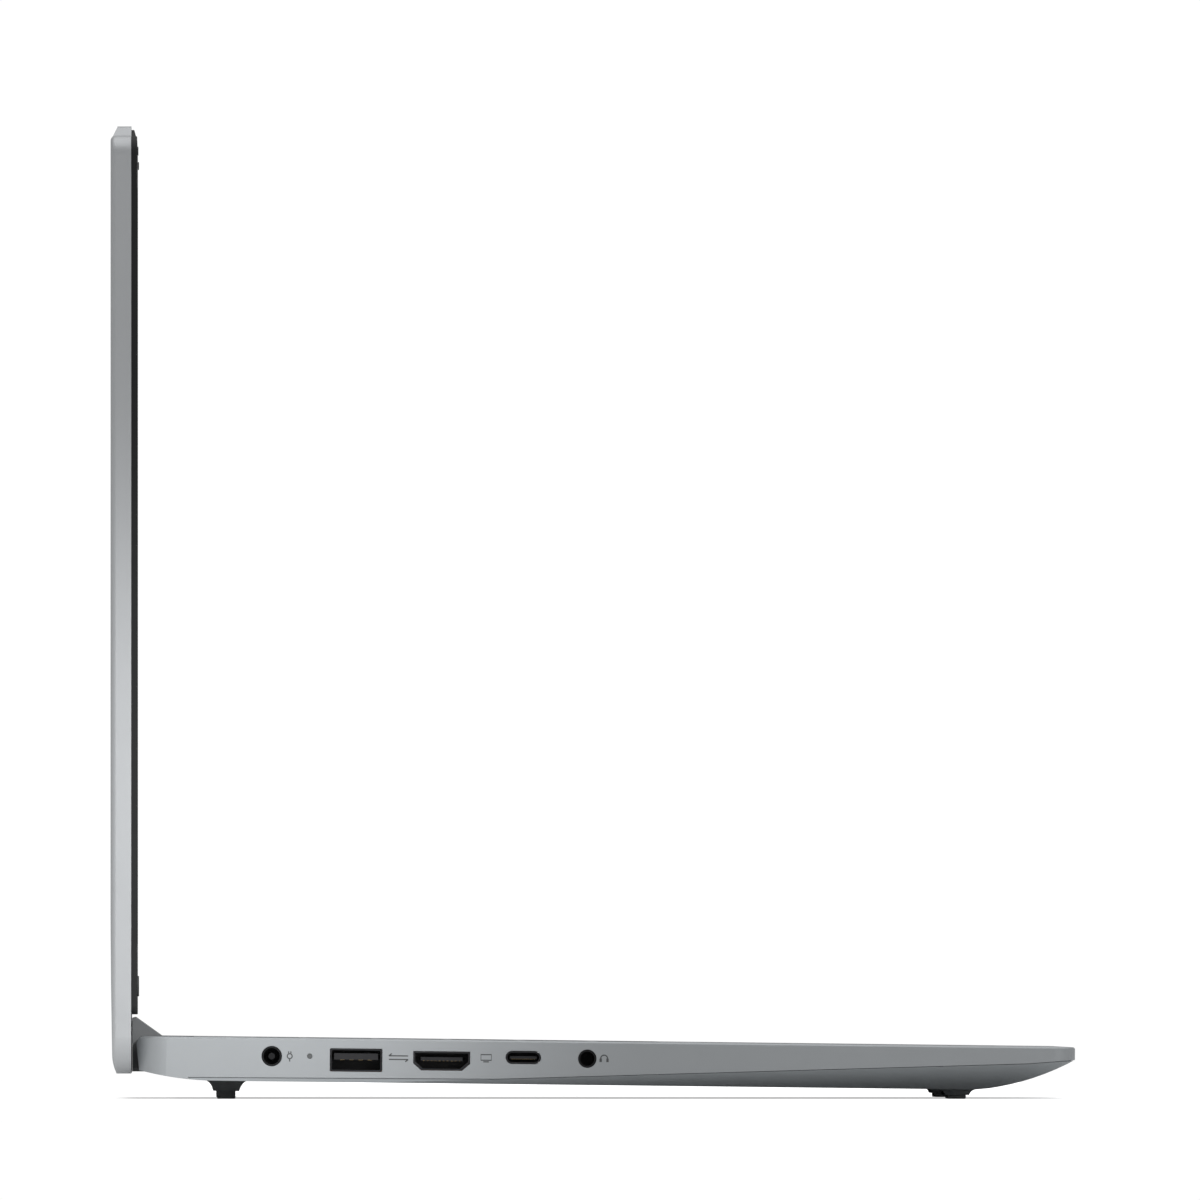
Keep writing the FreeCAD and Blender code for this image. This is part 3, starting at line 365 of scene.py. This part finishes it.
def looseParts(nodeName):
    # the lowest and highest corner of each loose part of a node, from the back row to the front
    mesh = nodes[nodeName].data
    # places to the nearest thousandth of a mm, so that vertices at one place count as one
    spots = [tuple(round(c * 1e6) for c in vertex.co) for vertex in mesh.vertices]
    parent = {spot: spot for spot in spots}

    def rootOf(spot):
        while parent[spot] != spot:
            parent[spot] = parent[parent[spot]]
            spot = parent[spot]
        return spot

    for face in mesh.polygons:
        first = rootOf(spots[face.vertices[0]])
        for other in face.vertices[1:]:
            parent[rootOf(spots[other])] = first
    boxes = {}
    for vertex, spot in zip(mesh.vertices, spots):
        point = levelSpace @ vertex.co
        low, high = boxes.setdefault(rootOf(spot), (point.copy(), point.copy()))
        for axis in range(3):
            low[axis] = min(low[axis], point[axis])
            high[axis] = max(high[axis], point[axis])
    return sorted(boxes.values(), key=lambda box: (-round(box[1].y / mm), box[0].x))


def roundedRing(shape, low, high, radius, z, steps=4):
    # one ring of a rounded rectangle
    ring = []
    middle = (low + high) / 2
    corners = ((high.x, high.y, 0), (low.x, high.y, 90), (low.x, low.y, 180), (high.x, low.y, 270))
    for x, y, start in corners:
        centreX = x - math.copysign(radius, x - middle.x)
        centreY = y - math.copysign(radius, y - middle.y)
        for step in range(steps + 1):
            turn = math.radians(start + 90 * step / steps)
            spot = (centreX + radius * math.cos(turn), centreY + radius * math.sin(turn), z)
            ring.append(shape.verts.new(spot))
    return ring


def bridge(shape, lower, upper):
    for i in range(len(lower)):
        j = (i + 1) % len(lower)
        shape.faces.new((lower[i], lower[j], upper[j], upper[i]))


def closeEnds(shape, lower, upper):
    shape.faces.new(upper)
    shape.faces.new(list(reversed(lower)))


keycap = {
    "corner": 1.3 * mm,
    "cornerLeast": 0.3 * mm,
    "cornerShrink": 0.4,       # how much a corner's radius loses for each mm further in
    "taper": 0.05 * mm,        # how far each side leans in below its rolled edge
    "roll": 0.40 * mm,         # radius of the top edge
    "rollSteps": 3,
    "dish": 0.10 * mm,         # how far the middle of the top is pressed in
    "dishSteps": 4,
    "flat": 0.3 * mm,          # about half the width of the flat middle
}


def buildKeycap(shape, low, high):
    rings = []
    top = high.z
    roll = keycap["roll"]

    def addRing(inset, z):
        shift = Vector((inset, inset, 0))
        radius = max(keycap["corner"] - inset * keycap["cornerShrink"], keycap["cornerLeast"])
        rings.append(roundedRing(shape, low + shift, high - shift, radius, z))

    addRing(0.0, low.z)
    addRing(keycap["taper"], top - roll)
    for step in range(1, keycap["rollSteps"] + 1):
        turn = math.radians(90 * step / keycap["rollSteps"])
        addRing(keycap["taper"] + roll * (1 - math.cos(turn)), top - roll * (1 - math.sin(turn)))
    reach = min(high.x - low.x, high.y - low.y) / 2 - roll - keycap["flat"]
    for step in range(1, keycap["dishSteps"]):
        share = step / keycap["dishSteps"]
        pressed = keycap["dish"] * math.sin(math.radians(90 * share))
        addRing(keycap["taper"] + roll + reach * share, top - pressed)
    for lower, upper in zip(rings, rings[1:]):
        bridge(shape, lower, upper)
    closeEnds(shape, rings[0], rings[-1])


# the words on each group of keys, from the back row to the front and from left to right
legends = {
    "function_keys": ["Esc", "F1", "F2", "F3", "F4", "F5", "F6", "F7", "F8", "F9", "F10", "F11", "F12",
                      "Ins", "Del"],
    "number_keys": ["`", "1", "2", "3", "4", "5", "6", "7", "8", "9", "0", "-", "=", "Back"],
    "upper_letter_keys": ["Tab"] + list("QWERTYUIOP[]") + ["\\"],
    "home_letter_keys": ["Caps"] + list("ASDFGHJKL;'"),
    "enter_key": ["Enter"],
    "lower_letter_keys": ["Shift"] + list("ZXCVBNM,./") + ["Shift"],
    "modifier_keys": ["Ctrl", "Fn", "Sys", "Alt", "Alt", "Ctrl"],
    "space_key": [""],
    "arrow_keys": ["<", "^", ">", "v"],
    "keypad_keys": ["Home", "End", "PgUp", "PgDn", "Num", "/", "*", "-", "7", "8", "9", "+",
                    "4", "5", "6", "1", "2", "3", "Ent", "0", "."],
}
lettering = {
    "signHigh": 3.3 * mm,      # a single letter or digit
    "wordHigh": 2.1 * mm,
    "sizeForHigh": 1.25,       # font size for each unit of height
    "bold": 0.012,             # how far the strokes grow, as a share of the font size
    "thick": 0.012 * mm,
    "sink": 0.15,              # share of the dish that the print follows down
    "fromLeft": 1.9 * mm,
    "fromTop": 1.9 * mm,
    "fromTopSmall": 1.3 * mm,
    "smallKey": 9 * mm,        # a key that is less deep than this is a small one
    "arrow": 1.1 * mm,
    "arrowCorners": (0, 130, 230),
}
arrowTurns = {"<": 180, ">": 0, "^": 90, "v": 270}


def addWords(shape, words, high, spot):
    curve = bpy.data.curves.new("lettering", "FONT")
    curve.body = words
    curve.size = high * lettering["sizeForHigh"]
    curve.extrude = lettering["thick"]
    curve.offset = curve.size * lettering["bold"]
    curve.resolution_u = 2
    writer = bpy.data.objects.new("lettering", curve)
    bpy.context.scene.collection.objects.link(writer)
    bpy.context.view_layer.update()
    written = writer.evaluated_get(bpy.context.evaluated_depsgraph_get())
    printed = bpy.data.meshes.new_from_object(written)
    printed.transform(Matrix.Translation(spot))
    shape.from_mesh(printed)
    bpy.data.objects.remove(writer)
    bpy.data.curves.remove(curve)
    bpy.data.meshes.remove(printed)


def addArrow(shape, spot, turn):
    # a small filled triangle
    thick = Vector((0, 0, lettering["thick"]))
    lower = []
    upper = []
    for angle in lettering["arrowCorners"]:
        way = math.radians(turn + angle)
        corner = spot + Vector((math.cos(way), math.sin(way), 0)) * lettering["arrow"]
        lower.append(shape.verts.new(corner))
        upper.append(shape.verts.new(corner + thick))
    closeEnds(shape, lower, upper)
    bridge(shape, lower, upper)


def buildLegend(shape, words, low, high):
    ink = high.z - keycap["dish"] * lettering["sink"]
    if words in arrowTurns:
        middle = (low + high) / 2
        addArrow(shape, Vector((middle.x, middle.y, ink)), arrowTurns[words])
        return
    tall = lettering["signHigh"] if len(words) == 1 else lettering["wordHigh"]
    small = high.y - low.y < lettering["smallKey"]
    fromTop = lettering["fromTopSmall"] if small else lettering["fromTop"]
    addWords(shape, words, tall, Vector((low.x + lettering["fromLeft"], high.y - tall - fromTop, ink)))


def makeKeys():
    for nodeName, words in legends.items():
        boxes = looseParts(nodeName)
        body = body_of(nodes[nodeName])[0]

        def buildCaps(shape):
            for low, high in boxes:
                buildKeycap(shape, low, high)

        def buildPrint(shape):
            for (low, high), text in zip(boxes, words):
                buildLegend(shape, text, low, high)

        caps = addPiece(nodeName + "_caps", buildCaps, body, "keyPlastic")
        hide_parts(nodeName)
        if any(words):
            addPiece(nodeName + "_print", buildPrint, body, "printInk")
    print("keys made:", len(legends), "rows")


makeKeys()

# a small printed sign beside each socket: forward and up are from the socket's middle
stroke = {
    "wide": 0.30 * mm,
    "proud": 0.015 * mm,
}
plugSign = {
    "beside": "dc_jack",
    "forward": 4.5 * mm,
    "up": 0.1 * mm,
    "body": 0.62 * mm,
    "prongApart": 0.28 * mm,   # from the middle line
    "prongFrom": 0.7 * mm,
    "prongTo": 1.2 * mm,
    "leadFrom": -0.65 * mm,
    "leadTo": -1.35 * mm,
}
arrowSign = {
    "beside": "usb_a_port_left",
    "forward": 10.6 * mm,
    "up": 0.75 * mm,
    "reach": 2.4 * mm,
    "apart": 0.45 * mm,        # from the middle line
    "barbBack": 0.7 * mm,
    "barbOut": 0.55 * mm,
}
displaySign = {
    "beside": "video_port",
    "forward": 11.1 * mm,
    "up": 0.9 * mm,
    "reach": 1.3 * mm,
    "low": -0.6 * mm,
    "high": 0.8 * mm,
    "standReach": 0.7 * mm,
    "standLow": -1.0 * mm,
}
headsetSign = {
    "beside": "audio_jack",
    "forward": 4.2 * mm,
    "up": 0.05 * mm,
    "band": 0.85 * mm,
    "padLow": -0.9 * mm,
    "padWide": 0.60 * mm,
}
powerSign = {
    "ring": 0.42 * mm,
    "from": 130,               # degrees; the ring's gap is at its top
    "to": 410,
    "barFrom": 0.1 * mm,
    "barTo": 0.55 * mm,
    "line": 0.12 * mm,
}
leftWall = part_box("top_case")[0].x


def addStroke(shape, points, wide=stroke["wide"], closed=False, wall=leftWall, outward=-1):
    # a flat ribbon along a line of (y, z) points on a side wall
    count = len(points)
    rows = []
    for i, (y, z) in enumerate(points):
        before = points[i - 1] if closed or i > 0 else points[i]
        after = points[(i + 1) % count] if closed or i < count - 1 else points[i]
        way = Vector((after[0] - before[0], after[1] - before[1])).normalized()
        side = Vector((-way.y, way.x)) * wide / 2
        rows.append([shape.verts.new((wall + outward * lift, y + sign * side.x, z + sign * side.y))
                     for lift in (0.0, stroke["proud"]) for sign in (1, -1)])
    for i in range(count if closed else count - 1):
        here, there = rows[i], rows[(i + 1) % count]
        for first, second in ((0, 1), (1, 3), (3, 2), (2, 0)):
            shape.faces.new((here[first], here[second], there[second], there[first]))


def arcPoints(y, z, radius, steps=14, start=0, stop=360):
    # a full circle leaves out its last point, which is its first
    count = steps + 1 if stop - start < 360 else steps
    turns = [math.radians(start + (stop - start) * i / steps) for i in range(count)]
    return [(y + radius * math.cos(turn), z + radius * math.sin(turn)) for turn in turns]


def levelMiddle(nodeName):
    low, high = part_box(nodeName)
    middle = levelSpace @ ((Vector(low) + Vector(high)) / 2)
    return middle.y, middle.z


def signMiddle(sign):
    y, z = levelMiddle(sign["beside"])
    return y - sign["forward"], z + sign["up"]


def addPlug(shape):
    y, z = signMiddle(plugSign)
    addStroke(shape, arcPoints(y, z, plugSign["body"]), closed=True)
    for prong in (y - plugSign["prongApart"], y + plugSign["prongApart"]):
        addStroke(shape, [(prong, z + plugSign["prongFrom"]), (prong, z + plugSign["prongTo"])])
    addStroke(shape, [(y, z + plugSign["leadFrom"]), (y, z + plugSign["leadTo"])])


def addOpposedArrows(shape):
    y, z = signMiddle(arrowSign)
    for way in (1, -1):
        shaft = z + way * arrowSign["apart"]
        tip = y + way * arrowSign["reach"]
        barb = (tip - way * arrowSign["barbBack"], shaft + way * arrowSign["barbOut"])
        addStroke(shape, [(y - way * arrowSign["reach"], shaft), (tip, shaft)])
        addStroke(shape, [barb, (tip, shaft)])


def addDisplay(shape):
    y, z = signMiddle(displaySign)
    back, front = y - displaySign["reach"], y + displaySign["reach"]
    low, high = z + displaySign["low"], z + displaySign["high"]
    addStroke(shape, [(back, low), (front, low), (front, high), (back, high)], closed=True)
    stand = z + displaySign["standLow"]
    addStroke(shape, [(y - displaySign["standReach"], stand), (y + displaySign["standReach"], stand)])


def addHeadset(shape):
    y, z = signMiddle(headsetSign)
    addStroke(shape, arcPoints(y, z, headsetSign["band"], steps=10, stop=180))
    for pad in (y - headsetSign["band"], y + headsetSign["band"]):
        addStroke(shape, [(pad, z), (pad, z + headsetSign["padLow"])], headsetSign["padWide"])


def buildSideSigns(shape):
    addPlug(shape)
    addOpposedArrows(shape)
    addDisplay(shape)
    addHeadset(shape)


def buildPowerSign(shape):
    # an open ring with a bar, on the button in the right wall
    y, z = levelMiddle("power_button")
    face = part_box("power_button")[1].x
    ring = arcPoints(y, z, powerSign["ring"], 12, powerSign["from"], powerSign["to"])
    bar = [(y, z + powerSign["barFrom"]), (y, z + powerSign["barTo"])]
    for points in (ring, bar):
        addStroke(shape, points, powerSign["line"], wall=face, outward=1)


# leaf contacts on the sockets' tongues: above is from the socket's middle, inward is along x
contacts = {
    "usb_a_port_left": dict(pitch=2.3 * mm, count=4, wide=1.1 * mm, above=0.1 * mm, inward=1),
    "usb_a_port_right": dict(pitch=2.3 * mm, count=4, wide=1.1 * mm, above=0.1 * mm, inward=-1),
    "video_port": dict(pitch=1.0 * mm, count=10, wide=0.45 * mm, above=0.05 * mm, inward=1),
    "usb_c_port": dict(pitch=0.5 * mm, count=12, wide=0.26 * mm, above=-0.35 * mm, inward=1),
}
leaf = {
    "long": 7.0 * mm,
    "thick": 0.08 * mm,
    "deep": 5.4 * mm,          # from the mouth to the leaf's middle
}


def buildContacts(shape):
    for nodeName, row in contacts.items():
        y, z = levelMiddle(nodeName)
        low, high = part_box(nodeName)
        mouth = low.x if row["inward"] > 0 else high.x
        for number in range(row["count"]):
            spot = Vector((mouth + row["inward"] * leaf["deep"],
                           y + (number - (row["count"] - 1) / 2) * row["pitch"],
                           z + row["above"] - leaf["thick"] / 2))
            made = bmesh.ops.create_cube(shape, size=1.0)["verts"]
            bmesh.ops.scale(shape, vec=(leaf["long"], row["wide"], leaf["thick"]), verts=made)
            bmesh.ops.translate(shape, vec=spot, verts=made)


addPiece("socket_contacts", buildContacts, "base", "goldContact")
addPiece("power_sign", buildPowerSign, "power_button", "printInk")
addPiece("side_signs", buildSideSigns, "base", "sideInk")
print("contacts and signs made")

stageFloor = {
    "wide": 5.0,
    "sink": 0.05 * mm,         # keeps it just clear of the feet
    "colour": (0.93, 0.93, 0.93),
    "mottle": 3,               # per metre
    "mottleShade": 0.99,
    "rough": 0.9,
    "glow": 0.55,
    "bounce": 0.80,            # how pale it is to the light that it throws back up
}
room = {
    "glow": 0.44,              # light from all round
    "backdrop": 1.02,          # how bright it looks behind the machine
}
overheadSky = {
    "strength": 1.7,
    "across": 75,              # degrees
}
rearSpot = {
    "watts": 2.5,
    "place": (-0.46, 0.0, 0.12),
    "aim": (0.150, 0.030),     # y and z on the left wall
    "cone": 54,                # degrees across
    "soft": 0.03,
}
sideSoftbox = {
    "watts": 1.5,
    "place": (-1.6, -0.7, 0.25),
    "aim": (0, 0, 0.02),
    "size": (0.9, 0.3),
}
viewpoint = {
    "away": 13.75,             # from the left wall
    "place": (0.10575, 0.026),  # y and z
    "aim": (-0.00175, 0.12475),
    "frameWide": 0.300,        # at the left wall
    "sensor": 36.0,            # mm
    "farthest": 100,
}


def setUp(name, thing, place, aim):
    holder = bpy.data.objects.new(name, thing)
    bpy.context.scene.collection.objects.link(holder)
    holder.location = place
    holder.rotation_mode = "QUATERNION"
    holder.rotation_quaternion = (Vector(aim) - Vector(place)).to_track_quat("-Z", "Y")
    return holder


def splitForCamera(tree, seen, unseen, output):
    # the camera sees one shader and the light bounces off the other
    path = tree.nodes.new("ShaderNodeLightPath")
    choose = tree.nodes.new("ShaderNodeMixShader")
    tree.links.new(path.outputs["Is Camera Ray"], choose.inputs["Fac"])
    tree.links.new(unseen.outputs[0], choose.inputs[1])
    tree.links.new(seen.outputs[0], choose.inputs[2])
    tree.links.new(choose.outputs[0], tree.nodes[output].inputs["Surface"])


def makeFloor():
    shape = bmesh.new()
    bmesh.ops.create_grid(shape, x_segments=8, y_segments=8, size=stageFloor["wide"] / 2)
    mesh = bpy.data.meshes.new("floor")
    shape.to_mesh(mesh)
    shape.free()
    floor = bpy.data.objects.new("floor", mesh)
    bpy.context.scene.collection.objects.link(floor)
    floor.location.z = -stageFloor["sink"]
    coat, tree, shader, where = startFinish("paleFloor")
    colour = stageFloor["colour"]
    mottle = addNoise(tree, where, stageFloor["mottle"])
    shade = addBlend(tree, mottle, scaled(colour, stageFloor["mottleShade"]), colour)
    tree.links.new(shade, shader.inputs["Base Color"])
    shader.inputs["Roughness"].default_value = stageFloor["rough"]
    shader.inputs["Emission Color"].default_value = (1, 1, 1, 1)
    shader.inputs["Emission Strength"].default_value = stageFloor["glow"]
    dull = tree.nodes.new("ShaderNodeBsdfDiffuse")
    dull.inputs["Color"].default_value = (*[stageFloor["bounce"]] * 3, 1)
    splitForCamera(tree, shader, dull, "Material Output")
    mesh.materials.append(coat)


def makeRoom():
    world = bpy.data.worlds.new("room")
    bpy.context.scene.world = world
    world.use_nodes = True
    tree = world.node_tree
    glow = tree.nodes["Background"]
    backdrop = tree.nodes.new("ShaderNodeBackground")
    for background, strength in ((glow, room["glow"]), (backdrop, room["backdrop"])):
        background.inputs["Color"].default_value = (1, 1, 1, 1)
        background.inputs["Strength"].default_value = strength
    splitForCamera(tree, backdrop, glow, "World Output")


def makeSky():
    # one broad soft light from straight above, even over the whole floor
    sun = bpy.data.lights.new("overheadSky", "SUN")
    sun.energy = overheadSky["strength"]
    sun.angle = math.radians(overheadSky["across"])
    setUp("overheadSky", sun, (0, 0, 1), (0, 0, 0))


def makeRearSpot():
    # the glow that fades along the side wall and up the lid's edge
    spot = bpy.data.lights.new("rearSpot", "SPOT")
    spot.energy = rearSpot["watts"]
    spot.spot_size = math.radians(rearSpot["cone"])
    spot.spot_blend = 1.0
    spot.shadow_soft_size = rearSpot["soft"]
    setUp("rearSpot", spot, rearSpot["place"], (leftWall, *rearSpot["aim"]))


def makeSideSoftbox():
    lamp = bpy.data.lights.new("sideSoftbox", "AREA")
    lamp.shape = "RECTANGLE"
    lamp.size, lamp.size_y = sideSoftbox["size"]
    lamp.energy = sideSoftbox["watts"]
    holder = setUp("sideSoftbox", lamp, sideSoftbox["place"], sideSoftbox["aim"])
    holder.visible_camera = False


def makeCamera():
    camera = bpy.data.cameras.new("camera")
    camera.sensor_width = viewpoint["sensor"]
    camera.lens = viewpoint["sensor"] * viewpoint["away"] / viewpoint["frameWide"]
    camera.clip_end = viewpoint["farthest"]
    place = (leftWall - viewpoint["away"], *viewpoint["place"])
    bpy.context.scene.camera = setUp("camera", camera, place, (leftWall, *viewpoint["aim"]))


makeFloor()
makeRoom()
makeSky()
makeRearSpot()
makeSideSoftbox()
makeCamera()
bpy.context.scene.view_settings.view_transform = "Standard"
print("stage set")
